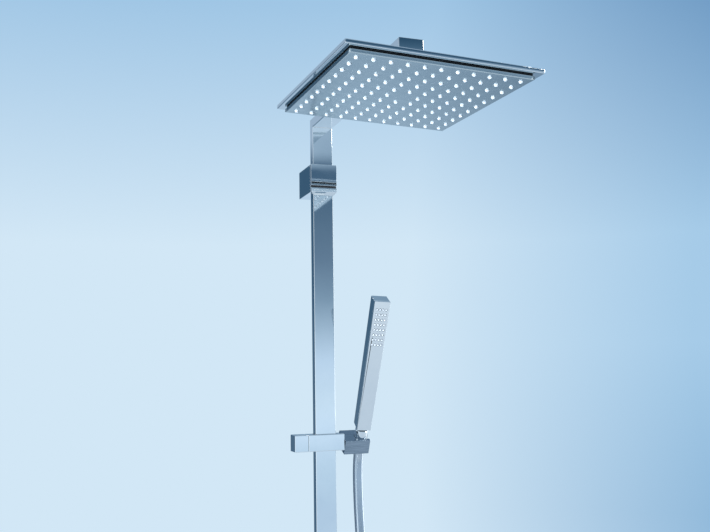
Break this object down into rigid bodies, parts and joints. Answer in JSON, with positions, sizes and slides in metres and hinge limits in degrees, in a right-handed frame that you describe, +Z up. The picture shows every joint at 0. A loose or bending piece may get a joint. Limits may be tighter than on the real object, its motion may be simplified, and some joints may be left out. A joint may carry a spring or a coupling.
{
  "type": "shower column",
  "caption": "Wall-mounted rainfall shower column with a square overhead shower on a swivel arm, a stick hand shower in a sliding cradle and a thermostatic mixer.",
  "frame": {"origin": "centre of the upper wall bracket's back face, on the wall", "axes": "+X right along the wall seen from the room, +Y into the wall, +Z up"},
  "size_m": [0.2888, 0.4793, 1.3557],
  "materials": {
    "chrome": "polished",
    "satin_chrome": "satin",
    "steel": "plain",
    "brass": "plain",
    "black_rubber": "matte",
    "silicone": "satin",
    "black_plastic": "matte",
    "silver_hose": "satin metallic"
  },
  "bodies": {
    "fixed": {"bracket_housing": "chrome", "bracket_front_cap": "chrome", "bracket_lower_lip": "chrome", "riser_tube": "chrome", "riser_foot_collar": "chrome", "hose_lower_nut": "chrome", "mixer_body": "chrome", "inlet_rose_left": "chrome", "inlet_rose_right": "chrome", "inlet_union_left": "chrome", "inlet_union_right": "chrome", "hose_outlet": "chrome", "bracket_base": "steel", "bracket_screw_upper": "steel", "bracket_screw_lower": "steel", "bracket_grub_screw": "steel", "inlet_filter_left": "steel", "inlet_filter_right": "steel", "riser_top_plug": "brass", "riser_foot_plug": "brass", "temp_cartridge": "brass", "flow_cartridge": "brass", "bracket_gasket": "black_rubber", "swivel_bush": "black_plastic", "hose": "silver_hose"},
    "arm": {"arm_tube": "chrome", "arm_spigot": "brass", "spigot_oring_upper": "black_rubber", "spigot_oring_lower": "black_rubber", "arm_end_cap": "chrome", "ball_stud": "chrome", "stud_locknut": "brass"},
    "seat_ring": {"ball_seat_ring": "silicone"},
    "head": {"head_socket": "chrome", "ball_nut": "chrome", "head_inlet_filter": "steel", "head_cover": "chrome", "head_manifold": "black_plastic", "head_gasket": "black_rubber", "head_spray_plate": "chrome", "head_nozzle_mat": "silicone"},
    "slider": {"slider_body": "chrome", "slider_liner": "black_plastic", "cradle_pin": "steel", "cradle_washer": "black_rubber"},
    "knob": {"clamp_knob": "chrome", "clamp_shaft": "steel"},
    "pad": {"brake_pad": "black_rubber"},
    "cradle": {"cradle_block": "satin_chrome"},
    "hand": {"handset_shell": "chrome", "handset_front": "chrome", "handset_nozzle_mat": "silicone", "handset_nipple": "brass", "handset_check_valve": "black_plastic", "hose_cone_nut": "chrome", "hose_nut_washer": "black_rubber"},
    "temp": {"temp_handle": "chrome"},
    "button": {"temp_stop_button": "black_plastic"},
    "flow": {"flow_handle": "chrome"}
  },
  "joints": [
    {"name": "arm_swivel", "type": "hinge", "parent": "fixed", "child": "arm", "pos_m": [0, -0.0505, 0.0205], "axis": [0, 0, 1], "range_deg": [-60, 60]},
    {"name": "head_tilt_front", "type": "hinge", "parent": "arm", "child": "seat_ring", "pos_m": [0, -0.3602, 0.057], "axis": [1, 0, 0], "range_deg": [-12, 12]},
    {"name": "head_tilt_side", "type": "hinge", "parent": "seat_ring", "child": "head", "pos_m": [0, -0.3602, 0.057], "axis": [0, 1, 0], "range_deg": [-12, 12]},
    {"name": "slider_height", "type": "slide", "parent": "fixed", "child": "slider", "axis": [0, 0, 1], "range_m": [-0.36, 0.3], "deforming": ["hose"]},
    {"name": "clamp_turn", "type": "hinge", "parent": "slider", "child": "knob", "pos_m": [-0.0369, -0.0505, -0.3805], "axis": [1, 0, 0], "range_deg": [0, 90]},
    {"name": "brake_release", "type": "slide", "parent": "slider", "child": "pad", "axis": [-1, 0, 0], "range_m": [0, 0.001]},
    {"name": "cradle_tilt", "type": "hinge", "parent": "slider", "child": "cradle", "pos_m": [0.0309, -0.0505, -0.3805], "axis": [1, 0, 0], "range_deg": [-25, 25], "deforming": ["hose"]},
    {"name": "handset_lift", "type": "slide", "parent": "cradle", "child": "hand", "axis": [0, -0.4226, 0.9063], "range_m": [0, 0.06], "deforming": ["hose"]},
    {"name": "temp_turn", "type": "hinge", "parent": "fixed", "child": "temp", "pos_m": [0.11, -0.0505, -0.9], "axis": [1, 0, 0], "range_deg": [-90, 60]},
    {"name": "stop_press", "type": "slide", "parent": "temp", "child": "button", "axis": [0, 0, -1], "range_m": [0, 0.0025], "stiffness_N_per_m": 400, "springref_m": -0.002},
    {"name": "flow_turn", "type": "hinge", "parent": "fixed", "child": "flow", "pos_m": [-0.11, -0.0505, -0.9], "axis": [1, 0, 0], "range_deg": [-60, 60]}
  ],
  "couplings": [
    {"joint": "brake_release", "follows": "clamp_turn", "m_per_rad": 0.00063598}
  ]
}
